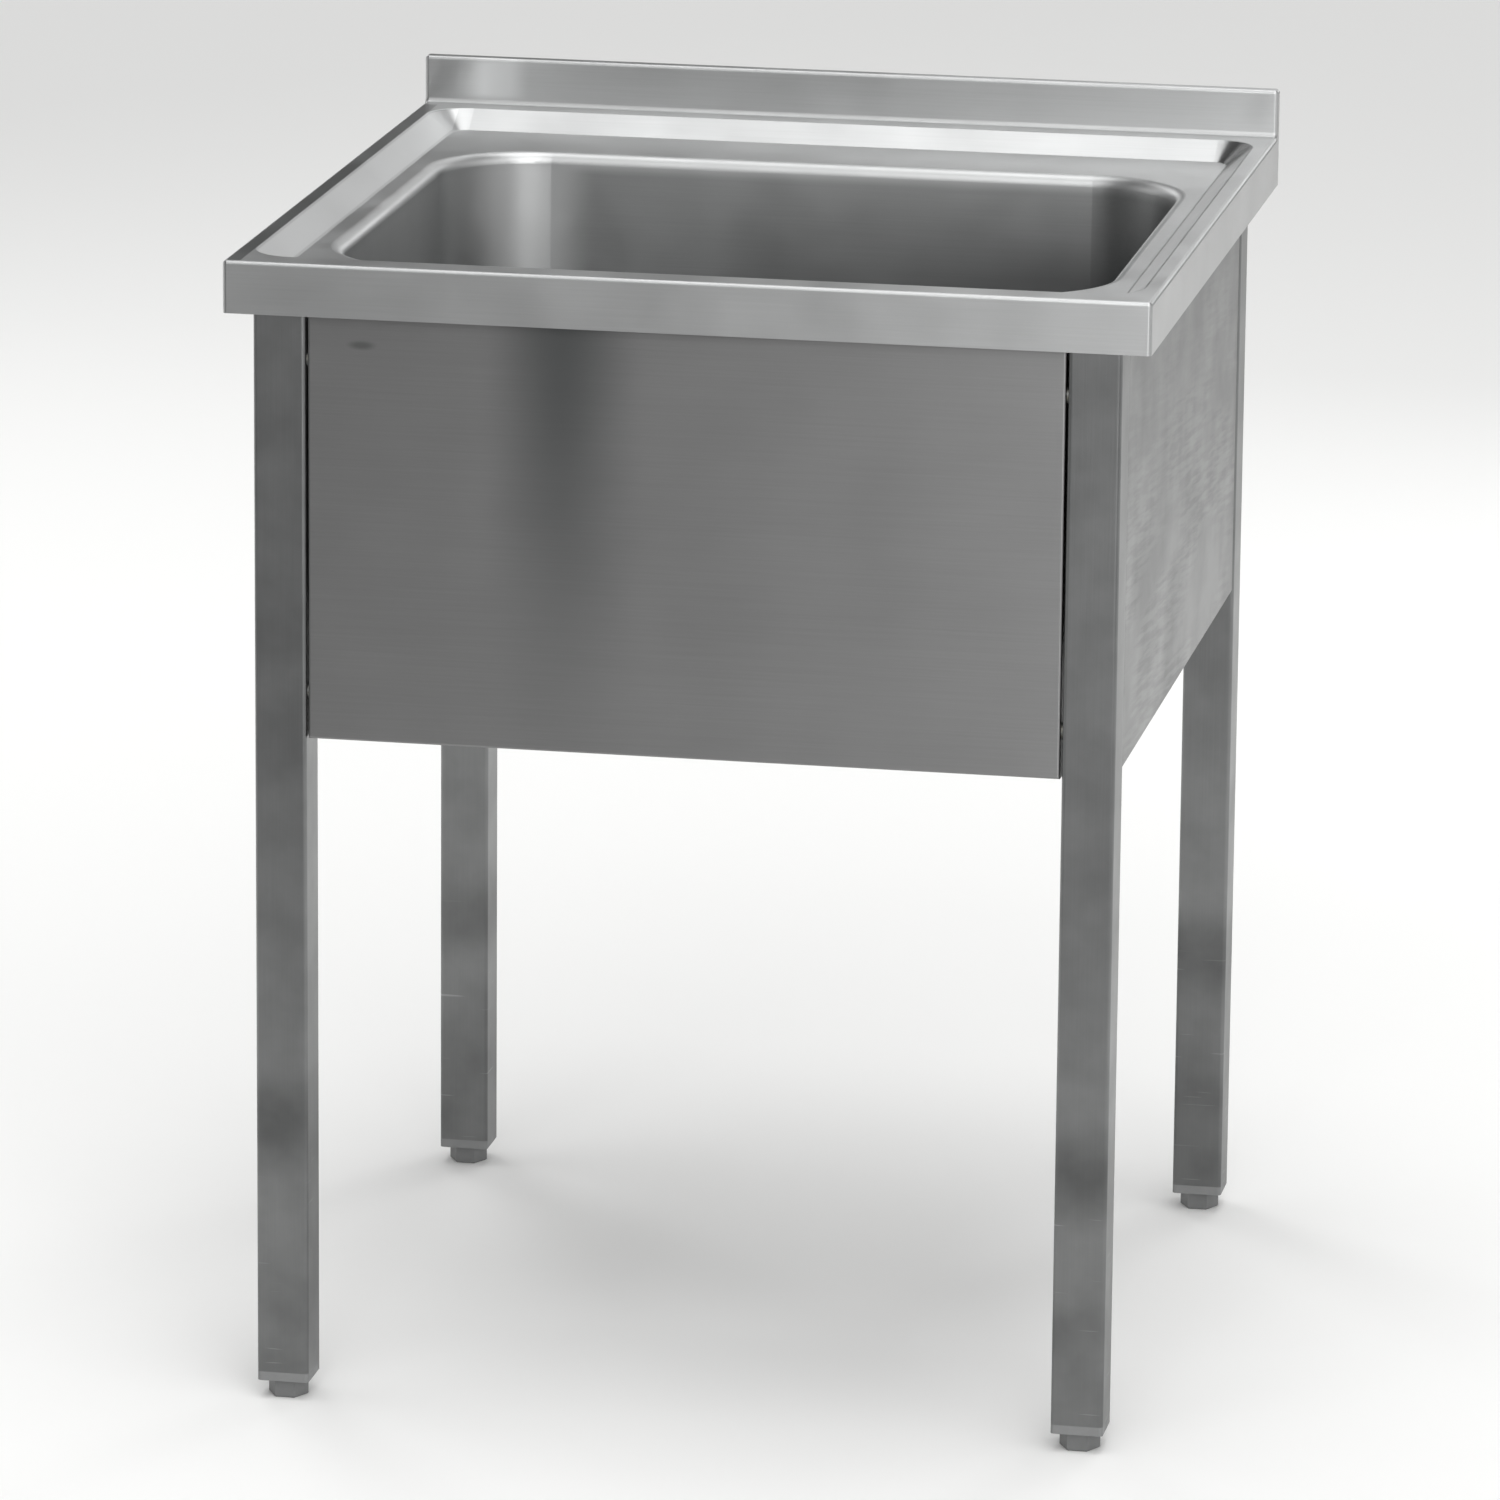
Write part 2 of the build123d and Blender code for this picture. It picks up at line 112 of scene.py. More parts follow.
# %% [markdown]
# Many finishes here are one metal that is lighter or darker in some place: a band, a stripe, a corner.
# Such a place is a mask, a number from 0 to 1 that depends on how far a point is from a middle line.
# Masks along different axes multiply, and the result mixes a second colour into the metal's own.

# %% Mask helpers
def soft_band(tree, value, middle_mm, half_width_mm, edge_mm, strength=1.0):
    """strength within half_width of the middle of a coordinate, and down to 0 over the edge past it."""
    off = add_node(tree, "ShaderNodeMath", {1: middle_mm * MM}, {0: value}, operation="SUBTRACT")
    away = add_node(tree, "ShaderNodeMath", links={0: off.outputs[0]}, operation="ABSOLUTE")
    band = add_node(
        tree,
        "ShaderNodeMapRange",
        {
            "From Min": (half_width_mm + edge_mm) * MM,
            "From Max": half_width_mm * MM,
            "To Max": strength,
        },
        {"Value": away.outputs[0]},
        interpolation_type="SMOOTHSTEP",
    )
    return band.outputs["Result"]


def all_of(tree, first, *others):
    """The product of masks."""
    for other in others:
        product = add_node(tree, "ShaderNodeMath", links={0: first, 1: other}, operation="MULTIPLY")
        first = product.outputs[0]
    return first


def tint_where(tree, shader, mask, hex_colour):
    """Mixes a colour into a shader's base colour where the mask is high."""
    before = shader.inputs["Base Color"].links[0].from_socket
    mixed = add_node(
        tree,
        "ShaderNodeMix",
        {7: linear(hex_colour)},
        {"Factor": mask, 6: before},
        data_type="RGBA",
    )
    tree.links.new(mixed.outputs[2], shader.inputs["Base Color"])


print("masks are built from", soft_band.__name__, "and", all_of.__name__)

# %% [markdown]
# ## The camera
#
# The photograph looks down at the sink from the front right through a long lens. A long lens keeps
# the legs nearly parallel. The camera's place, turn and tilt were fitted to the sink's corners.

# %% Make the camera
EYE = Vector((1.3026, -6.9988, 2.2392))
TURN = 0.1857       # radians to the left of straight ahead
TILT = 0.2466       # radians down
LEAN = 0.009        # radians
LENS = 224.3        # millimetres, on a 36 mm sensor

ahead = Vector((-math.sin(TURN) * math.cos(TILT), math.cos(TURN) * math.cos(TILT), -math.sin(TILT)))
level = Vector((math.cos(TURN), math.sin(TURN), 0))
right = level * math.cos(LEAN) + level.cross(ahead) * math.sin(LEAN)
up = right.cross(ahead)
lens = bpy.data.cameras.new("camera")
lens.lens = LENS
lens.sensor_width = 36
camera = bpy.data.objects.new("camera", lens)
camera.matrix_world = Matrix.Translation(EYE) @ Matrix((right, up, -ahead)).transposed().to_4x4()
bpy.context.scene.collection.objects.link(camera)
bpy.context.scene.camera = camera
print("camera at", [round(c, 3) for c in EYE], "looking", [round(c, 3) for c in ahead])

# %% [markdown]
# ## Brushed stainless sheet
#
# The sheet is rolled stainless steel with a satin belt-ground finish. The belt leaves fine parallel
# scratches. Light that falls on them spreads across the scratches and hardly along them, so every
# reflection is drawn out into a band at right angles to the grain. A plain rough metal can't show
# that, so the metal here is anisotropic: its tangent points across the scratches.
#
# Three patterns sit on top. Scratches about 0.2 mm apart are too fine for the render, so they are
# drawn 1.4 mm apart and weak. Cloudy patches 60 mm wide change the roughness, as polish and handling
# do. And thin sheet is never flat: it swells by a fraction of a millimetre over a hand's width, and
# that gently bends the reflections.

# %% Brushed stainless recipe
SCRATCH_MM = 1.4
SCRATCH_LENGTH_MM = 90.0
CLOUD_MM = 60.0
SWELL_MM = 170.0
SCRATCH_TINT = 0.06         # how much the scratches show in the colour


def brushed_stainless(
    name, grain, colour, roughness, anisotropy, scratch=0.05, swell=0.35, cloud=0.04
):
    """Belt-ground stainless steel whose scratches run along the axis grain.

    scratch and swell are heights in millimetres, and cloud is how far the roughness drifts.
    """
    material, tree, output, place = new_material(name)
    normal = add_node(tree, "ShaderNodeNewGeometry").outputs["Normal"]
    # the small vector leaves a tangent, upright, where a face is square to the grain
    across = add_node(
        tree, "ShaderNodeVectorMath", {1: grain}, {0: normal}, operation="CROSS_PRODUCT"
    )
    tangent = add_node(
        tree, "ShaderNodeVectorMath", {1: (0.0, 0.001, 0.01)}, {0: across.outputs[0]}, operation="ADD"
    )
    along = per_metre(SCRATCH_LENGTH_MM)
    stretch = [along if axis else per_metre(SCRATCH_MM) for axis in grain]
    scratch_place = add_node(
        tree, "ShaderNodeVectorMath", {1: stretch}, {0: place}, operation="MULTIPLY"
    )
    scratches = add_node(
        tree, "ShaderNodeTexNoise", {"Scale": 1.0, "Detail": 2.0}, {"Vector": scratch_place.outputs[0]}
    )
    clouds = add_node(
        tree, "ShaderNodeTexNoise", {"Scale": per_metre(CLOUD_MM), "Detail": 3.0}, {"Vector": place}
    )
    swells = add_node(
        tree, "ShaderNodeTexNoise", {"Scale": per_metre(SWELL_MM), "Detail": 1.0}, {"Vector": place}
    )
    cloudy = add_node(
        tree,
        "ShaderNodeMapRange",
        {"From Min": 0.3, "From Max": 0.7, "To Min": roughness - cloud, "To Max": roughness + cloud},
        {"Value": clouds.outputs["Fac"]},
    )
    swelling = add_node(
        tree,
        "ShaderNodeBump",
        {"Strength": 1.0, "Distance": swell * MM},
        {"Height": swells.outputs["Fac"]},
    )
    scratched = add_node(
        tree,
        "ShaderNodeBump",
        {"Strength": 1.0, "Distance": scratch * MM},
        {"Height": scratches.outputs["Fac"], "Normal": swelling.outputs["Normal"]},
    )
    tint = add_node(
        tree,
        "ShaderNodeMix",
        {"Factor": SCRATCH_TINT, 6: linear(colour)},
        {7: scratches.outputs["Fac"]},
        data_type="RGBA",
        blend_type="OVERLAY",
    )
    steel = add_node(
        tree,
        "ShaderNodeBsdfPrincipled",
        {"Metallic": 1.0, "Anisotropic": anisotropy},
        {
            "Base Color": tint.outputs[2],
            "Roughness": cloudy.outputs["Result"],
            "Normal": scratched.outputs["Normal"],
            "Tangent": tangent.outputs[0],
        },
        name="steel",
    )
    tree.links.new(steel.outputs["BSDF"], output.inputs["Surface"])
    return material


ALONG_X = (1.0, 0.0, 0.0)
ALONG_Y = (0.0, 1.0, 0.0)
ALONG_Z = (0.0, 0.0, 1.0)
FLAT_PANEL = {"roughness": 0.33, "anisotropy": 0.88, "swell": 0.08, "cloud": 0.012}

top_steel = brushed_stainless(
    "stainless_sheet_satin_brushed", ALONG_X, "#B6B7B7", 0.33, 0.9, swell=0.22, cloud=0.03
)
panel_steel = brushed_stainless("stainless_panel_brushed_lengthwise", ALONG_X, "#8F8F8F", **FLAT_PANEL)
apron_steel = brushed_stainless("stainless_apron_brushed_lengthwise", ALONG_X, "#8F8F8F", **FLAT_PANEL)
side_steel = brushed_stainless("stainless_side_panel_brushed", ALONG_Y, "#707171", 0.38, 0.7)
tube_steel = brushed_stainless("stainless_tube_brushed_lengthwise", ALONG_Z, "#8B8C8C", 0.34, 0.6)
bowl_steel = brushed_stainless(
    "stainless_bowl_deep_drawn", ALONG_X, "#9E9F9F", 0.40, 0.45, scratch=0.015, swell=0.2
)
paint(top_steel, "worktop")
paint(panel_steel, "rear_rail")
paint(apron_steel, "front_apron")
paint(side_steel, "left_apron", "right_apron")
paint(tube_steel, *[f"leg_{corner}" for corner in CORNERS])
paint(bowl_steel, "bowl")
for metal in (top_steel, panel_steel, apron_steel, side_steel, tube_steel, bowl_steel):
    print("brushed:", metal.name)

# %% [markdown]
# ## A painted reflection and marks on the legs
#
# A leg is a welded square tube, ground lengthwise by a belt. A soft dark band round every leg about
# 220 mm above the floor is a painted dark reflection of the floor in front. The legs also have
# cloudy patches, grow darker towards the bottom, and carry a few short bright scuffs across the tube
# low down. All of these go into the metal's colour.

# %% Legs: painted reflection band, patches and darker feet
REFLECTION_BAND_HEIGHT_MM = 220.0
REFLECTION_BAND_REACH_MM = 55.0
REFLECTION_BAND_STRENGTH = 0.55
PATCH_MM = 45.0
PATCH_STRENGTH = 0.3
FOOT_TONE_MM = 110.0        # from here down the tube is darker
FOOT_STRENGTH = 0.4

tree = tube_steel.node_tree
steel = tree.nodes["steel"]
place = add_node(tree, "ShaderNodeTexCoord").outputs["Object"]
height = add_node(tree, "ShaderNodeSeparateXYZ", links={"Vector": place}).outputs["Z"]
# the band is a painted dark reflection round every leg
band = soft_band(tree, height, REFLECTION_BAND_HEIGHT_MM, 0.0, REFLECTION_BAND_REACH_MM, REFLECTION_BAND_STRENGTH)
patches = add_node(
    tree, "ShaderNodeTexNoise", {"Scale": per_metre(PATCH_MM), "Detail": 3.0}, {"Vector": place}
)
patchy = add_node(
    tree,
    "ShaderNodeMapRange",
    {"From Min": 0.35, "From Max": 0.75, "To Max": PATCH_STRENGTH},
    {"Value": patches.outputs["Fac"]},
)
towards_foot = add_node(
    tree,
    "ShaderNodeMapRange",
    {"From Min": REFLECTION_BAND_HEIGHT_MM * MM, "From Max": FOOT_TONE_MM * MM, "To Max": FOOT_STRENGTH},
    {"Value": height},
)
reflection_band_and_patches = add_node(
    tree, "ShaderNodeMath", links={0: band, 1: patchy.outputs["Result"]}, operation="ADD"
)
darker = add_node(
    tree,
    "ShaderNodeMath",
    links={0: reflection_band_and_patches.outputs[0], 1: towards_foot.outputs["Result"]},
    operation="ADD",
    use_clamp=True,
)
# the painted reflection band, the patches and the darker feet all darken the colour
tint_where(tree, steel, darker.outputs[0], "#545555")
print("legs: dark band at", REFLECTION_BAND_HEIGHT_MM, "mm, dull below", FOOT_TONE_MM, "mm")

# %% Legs: scuffs
SCUFF_MM = 2.2
SCUFF_LENGTH_MM = 38.0
SCUFF_TOP_MM = 240.0
SCUFF_FULL_MM = 180.0
SCUFF_STRENGTH = 0.22

scuff_place = add_node(
    tree,
    "ShaderNodeVectorMath",
    {1: (per_metre(SCUFF_LENGTH_MM), per_metre(SCUFF_LENGTH_MM), per_metre(SCUFF_MM))},
    {0: place},
    operation="MULTIPLY",
)
scuff_noise = add_node(
    tree, "ShaderNodeTexNoise", {"Scale": 1.0, "Detail": 0.0}, {"Vector": scuff_place.outputs[0]}
)
# only the noise's few highest crests count, so the scuffs lie far apart
scuffs = add_node(
    tree,
    "ShaderNodeMapRange",
    {"From Min": 0.78, "From Max": 0.84, "To Max": SCUFF_STRENGTH},
    {"Value": scuff_noise.outputs["Fac"]},
)
low_down = add_node(
    tree,
    "ShaderNodeMapRange",
    {"From Min": SCUFF_TOP_MM * MM, "From Max": SCUFF_FULL_MM * MM},
    {"Value": height},
)
scuffs_low = all_of(tree, scuffs.outputs["Result"], low_down.outputs["Result"])
tint_where(tree, steel, scuffs_low, "#D0D2D1")
print("legs: scuffs", SCUFF_LENGTH_MM, "mm long below", SCUFF_TOP_MM, "mm")

# %% [markdown]
# ## The front apron's painted stripe and smudge
#
# The front apron has a soft upright dark stripe a third of the way along, strongest at the top. It
# is a painted reflection of a dark gap in the room in front. Near its top left corner is a small
# smudge. Both are soft masks worked out from the distance to a line or a point.

# %% Front apron: painted reflection stripe
REFLECTION_STRIPE_X_MM = -92.0
REFLECTION_STRIPE_REACH_MM = 68.0
REFLECTION_STRIPE_STRENGTH = 0.9
REFLECTION_STRIPE_FAINT = 0.12         # share of the strength at the apron's lower edge
APRON_TOP_MM = 850.0
APRON_BOTTOM_MM = 520.0

tree = apron_steel.node_tree
steel = tree.nodes["steel"]
place = add_node(tree, "ShaderNodeTexCoord").outputs["Object"]
axes = add_node(tree, "ShaderNodeSeparateXYZ", links={"Vector": place})
reflection_stripe = soft_band(tree, axes.outputs["X"], REFLECTION_STRIPE_X_MM, 0.0, REFLECTION_STRIPE_REACH_MM, REFLECTION_STRIPE_STRENGTH)
upwards = add_node(
    tree,
    "ShaderNodeMapRange",
    {"From Min": APRON_BOTTOM_MM * MM, "From Max": APRON_TOP_MM * MM, "To Min": REFLECTION_STRIPE_FAINT},
    {"Value": axes.outputs["Z"]},
    interpolation_type="SMOOTHSTEP",
)
# mixes the painted dark reflection stripe into the apron's colour
tint_where(tree, steel, all_of(tree, reflection_stripe, upwards.outputs["Result"]), "#606262")
print("front apron: stripe at x =", REFLECTION_STRIPE_X_MM, "mm")

# %% Front apron: smudge
SMUDGE_MM = (-245.0, 829.0)     # from the middle, and above the floor
SMUDGE_HALF_MM = (14.0, 4.5)
SMUDGE_STRENGTH = 0.5
SMUDGE_CORE = 0.2               # share of the half widths that has the full strength

to_smudge = add_node(
    tree,
    "ShaderNodeVectorMath",
    {1: (SMUDGE_MM[0] * MM, 0.0, SMUDGE_MM[1] * MM)},
    {0: place},
    operation="SUBTRACT",
)
# measured in half widths, so that the smudge is an ellipse
smudge_units = add_node(
    tree,
    "ShaderNodeVectorMath",
    {1: (per_metre(SMUDGE_HALF_MM[0]), 0.0, per_metre(SMUDGE_HALF_MM[1]))},
    {0: to_smudge.outputs[0]},
    operation="MULTIPLY",
)
smudge_reach = add_node(
    tree, "ShaderNodeVectorMath", links={0: smudge_units.outputs[0]}, operation="LENGTH"
)
smudge = add_node(
    tree,
    "ShaderNodeMapRange",
    {"From Min": SMUDGE_CORE, "From Max": 1.0, "To Min": SMUDGE_STRENGTH, "To Max": 0.0},
    {"Value": smudge_reach.outputs["Value"]},
    interpolation_type="SMOOTHSTEP",
)
tint_where(tree, steel, smudge.outputs["Result"], "#505252")
print("front apron: smudge at", SMUDGE_MM, "mm")

# %% [markdown]
# ## Ripple marks on the side aprons
#
# The side aprons show short, nearly level ripples a few millimetres high and a few centimetres long,
# thicker towards the lower edge. Pressing does this to thin sheet whose film was rolled on with
# creases. They are shallow dents, so they go into the bump, and the colour is a little lighter on
# their crests and darker in their hollows. Both are kept weak, because from the side the light shows
# every dent.

# %% Side aprons: where the ripples lie
RIPPLE_MM = 5.0
RIPPLE_LENGTH_MM = 60.0
RIPPLE_PATCH_MM = (60.0, 160.0, 60.0)
RIPPLE_TILT = 6.0           # degrees down towards the back
RIPPLE_TOP_MM = 840.0       # above this they are faint
RIPPLE_FULL_MM = 700.0
RIPPLE_FAINT = 0.1

tree = side_steel.node_tree
steel = tree.nodes["steel"]
place = add_node(tree, "ShaderNodeTexCoord").outputs["Object"]
height = add_node(tree, "ShaderNodeSeparateXYZ", links={"Vector": place}).outputs["Z"]
tilted = add_node(
    tree,
    "ShaderNodeVectorRotate",
    {"Angle": math.radians(RIPPLE_TILT)},
    {"Vector": place},
    rotation_type="X_AXIS",
)
ripple_place = add_node(
    tree,
    "ShaderNodeVectorMath",
    {1: (per_metre(RIPPLE_MM), per_metre(RIPPLE_LENGTH_MM), per_metre(RIPPLE_MM))},
    {0: tilted.outputs[0]},
    operation="MULTIPLY",
)
ripples = add_node(
    tree,
    "ShaderNodeTexNoise",
    {"Scale": 1.0, "Detail": 3.0},
    {"Vector": ripple_place.outputs[0]},
)
patch_place = add_node(
    tree,
    "ShaderNodeVectorMath",
    {1: [per_metre(size) for size in RIPPLE_PATCH_MM]},
    {0: place},
    operation="MULTIPLY",
)
ripple_patches = add_node(
    tree, "ShaderNodeTexNoise", {"Scale": 1.0, "Detail": 1.0}, {"Vector": patch_place.outputs[0]}
)
in_patches = add_node(
    tree,
    "ShaderNodeMapRange",
    {"From Min": 0.35, "From Max": 0.55},
    {"Value": ripple_patches.outputs["Fac"]},
)
lower_part = add_node(
    tree,
    "ShaderNodeMapRange",
    {"From Min": RIPPLE_TOP_MM * MM, "From Max": RIPPLE_FULL_MM * MM, "To Min": RIPPLE_FAINT},
    {"Value": height},
)
strength = all_of(tree, in_patches.outputs["Result"], lower_part.outputs["Result"])
print("side aprons: ripples", RIPPLE_MM, "x", RIPPLE_LENGTH_MM, "mm")

# %% Side aprons: dents and tone
RIPPLE_DEPTH_MM = 0.03

rippled = add_node(
    tree,
    "ShaderNodeBump",
    {"Distance": RIPPLE_DEPTH_MM * MM},
    {
        "Height": ripples.outputs["Fac"],
        "Strength": strength,
        "Normal": steel.inputs["Normal"].links[0].from_socket,
    },
)
tree.links.new(rippled.outputs["Normal"], steel.inputs["Normal"])
ripple_tone = add_node(
    tree,
    "ShaderNodeMapRange",
    {"From Min": 0.4, "From Max": 0.6},
    {"Value": ripples.outputs["Fac"]},
)
# lighter on the ripples' crests and darker in their hollows
ripple_colour = add_node(
    tree,
    "ShaderNodeMix",
    {6: linear("#696A6A"), 7: linear("#7E7F7F")},
    {"Factor": ripple_tone.outputs["Result"]},
    data_type="RGBA",
)
toned = add_node(
    tree,
    "ShaderNodeMix",
    links={
        "Factor": strength,
        6: steel.inputs["Base Color"].links[0].from_socket,
        7: ripple_colour.outputs[2],
    },
    data_type="RGBA",
)
tree.links.new(toned.outputs[2], steel.inputs["Base Color"])
print("side aprons: dents", RIPPLE_DEPTH_MM, "mm deep")

# %% [markdown]
# ## The bowl: painted shade with depth, and painted light
#
# A bowl this deep is drawn in a press and then ground by hand. Deep down, the walls see mostly the
# bowl's own walls, so below the lip they carry a painted shade, most of all towards the right-hand
# end. The left-hand end carries a painted reflection, and the rolled lip a painted highlight.

# %% Bowl: painted shade, darker with depth
BOWL_LIGHT_MM = 855.0       # the painted shade starts here and is full at the next height
BOWL_DARK_MM = 790.0
BOWL_LEFT_MM = -150.0
BOWL_RIGHT_MM = 280.0
SHADE_LEFT = 0.12
SHADE_RIGHT = 0.85

tree = bowl_steel.node_tree
steel = tree.nodes["steel"]
place = add_node(tree, "ShaderNodeTexCoord").outputs["Object"]
axes = add_node(tree, "ShaderNodeSeparateXYZ", links={"Vector": place})
depth = add_node(
    tree,
    "ShaderNodeMapRange",
    {"From Min": BOWL_LIGHT_MM * MM, "From Max": BOWL_DARK_MM * MM},
    {"Value": axes.outputs["Z"]},
)
rightwards = add_node(
    tree,
    "ShaderNodeMapRange",
    {
        "From Min": BOWL_LEFT_MM * MM,
        "From Max": BOWL_RIGHT_MM * MM,
        "To Min": SHADE_LEFT,
        "To Max": SHADE_RIGHT,
    },
    {"Value": axes.outputs["X"]},
)
# mixes the painted shade into the bowl's colour, deeper down and towards the right
tint_where(tree, steel, all_of(tree, depth.outputs["Result"], rightwards.outputs["Result"]), "#505151")
print("bowl: darker from z =", BOWL_LIGHT_MM, "to", BOWL_DARK_MM, "mm")

# %% Bowl: painted reflection at the left end, painted highlight on the lip
REFLECTION_START_MM = -180.0    # left of here the walls carry a painted reflection
REFLECTION_FULL_MM = -220.0
LIP_MM = 873.0
LIP_HALF_WIDTH_MM = 5.0
LIP_EDGE_MM = 10.0
LIP_ROUGHER = 0.03

left_end_reflection = add_node(
    tree,
    "ShaderNodeMapRange",
    {"From Min": REFLECTION_START_MM * MM, "From Max": REFLECTION_FULL_MM * MM},
    {"Value": axes.outputs["X"]},
    interpolation_type="SMOOTHSTEP",
)
# a painted reflection lightens the bowl's left-hand end
tint_where(tree, steel, left_end_reflection.outputs["Result"], "#C8C9C9")
lip = soft_band(tree, axes.outputs["Z"], LIP_MM, LIP_HALF_WIDTH_MM, LIP_EDGE_MM)
# a painted highlight along the rolled lip
tint_where(tree, steel, lip, "#BEBFBF")
rougher = add_node(
    tree,
    "ShaderNodeMath",
    {1: LIP_ROUGHER},
    {0: lip, 2: steel.inputs["Roughness"].links[0].from_socket},
    operation="MULTIPLY_ADD",
)
tree.links.new(rougher.outputs[0], steel.inputs["Roughness"])
print("bowl: bright left of x =", REFLECTION_START_MM, "mm, and round the lip")

# %% [markdown]
# ## Lighter and darker places on the top
#
# Three places on the pressed top carry painted light. The flat rim at the left has a painted dark
# reflection that grows towards the front. The slope beside it has a painted reflection that makes it
# the lightest strip. The upstand has a painted reflection, a brighter patch near its left end.

# %% Top: painted dark reflection on the left rim
RIM_MM = 890.0
RIM_MIDDLE_X_MM = -343.5
RIM_HALF_WIDTH_MM = 6.0
RIM_MIDDLE_Y_MM = -10.0
RIM_HALF_LENGTH_MM = 334.0
RIM_HALF_HEIGHT_MM = 1.5
RIM_END_MM = 4.0            # how softly the painted reflection ends at the two ends of the rim
THIN_EDGE_MM = 1.0          # and along its sides
RIM_REFLECTION_START_MM = 300.0       # darker from here forwards
RIM_REFLECTION_FULL_MM = -50.0
RIM_REFLECTION_BACK = 0.65            # share of the painted reflection's strength at the back

tree = top_steel.node_tree
steel = tree.nodes["steel"]
place = add_node(tree, "ShaderNodeTexCoord").outputs["Object"]
axes = add_node(tree, "ShaderNodeSeparateXYZ", links={"Vector": place})
x, y, z = axes.outputs["X"], axes.outputs["Y"], axes.outputs["Z"]
forwards = add_node(
    tree,
    "ShaderNodeMapRange",
    {"From Min": RIM_REFLECTION_START_MM * MM, "From Max": RIM_REFLECTION_FULL_MM * MM, "To Min": RIM_REFLECTION_BACK},
    {"Value": y},
)
left_rim_reflection = all_of(
    tree,
    soft_band(tree, x, RIM_MIDDLE_X_MM, RIM_HALF_WIDTH_MM, THIN_EDGE_MM),
    soft_band(tree, y, RIM_MIDDLE_Y_MM, RIM_HALF_LENGTH_MM, RIM_END_MM),
    soft_band(tree, z, RIM_MM, RIM_HALF_HEIGHT_MM, THIN_EDGE_MM),
    forwards.outputs["Result"],
)
# a painted dark reflection on the flat left rim
tint_where(tree, steel, left_rim_reflection, "#7C7D7D")
print("top: dull left rim about x =", RIM_MIDDLE_X_MM, "mm")

# %% Top: painted reflections on the left slope and the upstand
SLOPE_MIDDLE_MM = (-326.5, -3.5, 882.5)
SLOPE_HALF_MM = (9.0, 318.0, 6.0)
UPSTAND_REFLECTION_MIDDLE_MM = (-290.0, 338.0, 911.0)
UPSTAND_REFLECTION_HALF_MM = (9.0, 3.0, 12.0)
UPSTAND_REFLECTION_EDGE_MM = (20.0, 2.0, 8.0)

slope_bands = zip((x, y, z), SLOPE_MIDDLE_MM, SLOPE_HALF_MM)
left_slope_reflection = all_of(tree, *[soft_band(tree, *band, THIN_EDGE_MM) for band in slope_bands])
# a painted reflection lightens the left slope
tint_where(tree, steel, left_slope_reflection, "#CBCCCC")
patch_bands = zip((x, y, z), UPSTAND_REFLECTION_MIDDLE_MM, UPSTAND_REFLECTION_HALF_MM, UPSTAND_REFLECTION_EDGE_MM)
patch = all_of(tree, *[soft_band(tree, *band) for band in patch_bands])
# a painted reflection: the brighter patch near the upstand's left end
tint_where(tree, steel, patch, "#D0D1D1")
print("top: light left slope, and a patch on the upstand at", UPSTAND_REFLECTION_MIDDLE_MM, "mm")

# %% [markdown]
# ## Plain metals: mill finish, zinc plate and screw steel
#
# The sockets under the top are cut from cold-rolled plate that nobody grinds, so they keep the mill's
# smooth grey skin. The feet turn on zinc-plated studs: zinc is bluish, with a faint straw tint where
# the bright passivate is thicker. The rivet nuts are zinc-plated too, and duller. The screws are
# cold-headed stainless steel, shiny from the die. All four are rough metal whose colour and gloss
# drift in patches, so one recipe does for them.

# %% Plain metal recipe
GLOSS_DRIFT = 0.06          # how far the roughness drifts either way


def plain_metal(name, colour, other_colour, roughness, patch_mm, dent_mm=0.02):
    """Unground metal whose colour and gloss drift between two states in patches."""
    material, tree, output, place = new_material(name)
    patches = add_node(
        tree, "ShaderNodeTexNoise", {"Scale": per_metre(patch_mm), "Detail": 4.0}, {"Vector": place}
    )
    drift = add_node(
        tree,
        "ShaderNodeMapRange",
        {"From Min": 0.35, "From Max": 0.65},
        {"Value": patches.outputs["Fac"]},
    )
    gloss = add_node(
        tree,
        "ShaderNodeMapRange",
        {
            "From Min": 0.3,
            "From Max": 0.7,
            "To Min": roughness - GLOSS_DRIFT,
            "To Max": roughness + GLOSS_DRIFT,
        },
        {"Value": patches.outputs["Fac"]},
    )
    skin = add_node(
        tree,
        "ShaderNodeMix",
        {6: linear(colour), 7: linear(other_colour)},
        {"Factor": drift.outputs["Result"]},
        data_type="RGBA",
    )
    dents = add_node(
        tree, "ShaderNodeBump", {"Distance": dent_mm * MM}, {"Height": patches.outputs["Fac"]}
    )
    metal = add_node(
        tree,
        "ShaderNodeBsdfPrincipled",
        {"Metallic": 1.0},
        {
            "Base Color": skin.outputs[2],
            "Roughness": gloss.outputs["Result"],
            "Normal": dents.outputs["Normal"],
        },
    )
    tree.links.new(metal.outputs["BSDF"], output.inputs["Surface"])
    return material


plate_steel = plain_metal("stainless_plate_mill_finish", "#A4A5A5", "#909191", 0.42, patch_mm=9.0)
zinc = plain_metal("steel_zinc_plated_rolled_thread", "#B4B8BC", "#B9B6A8", 0.36, patch_mm=4.0)
screw_steel = plain_metal(
    "stainless_screw_cold_headed", "#BEBFBF", "#AAABAB", 0.36, patch_mm=2.5, dent_mm=0.01
)
rivet_zinc = plain_metal("steel_rivet_nut_zinc_plated", "#7E8184", "#858379", 0.5, patch_mm=3.0)
paint(plate_steel, *[f"socket_{corner}" for corner in CORNERS])
paint(screw_steel, "panel_screws", "leg_screws")
paint(rivet_zinc, "rivet_nuts")
paint(zinc, *[f"foot_stud_{corner}" for corner in CORNERS])
print("plain metals:", [m.name for m in (plate_steel, zinc, screw_steel, rivet_zinc)])

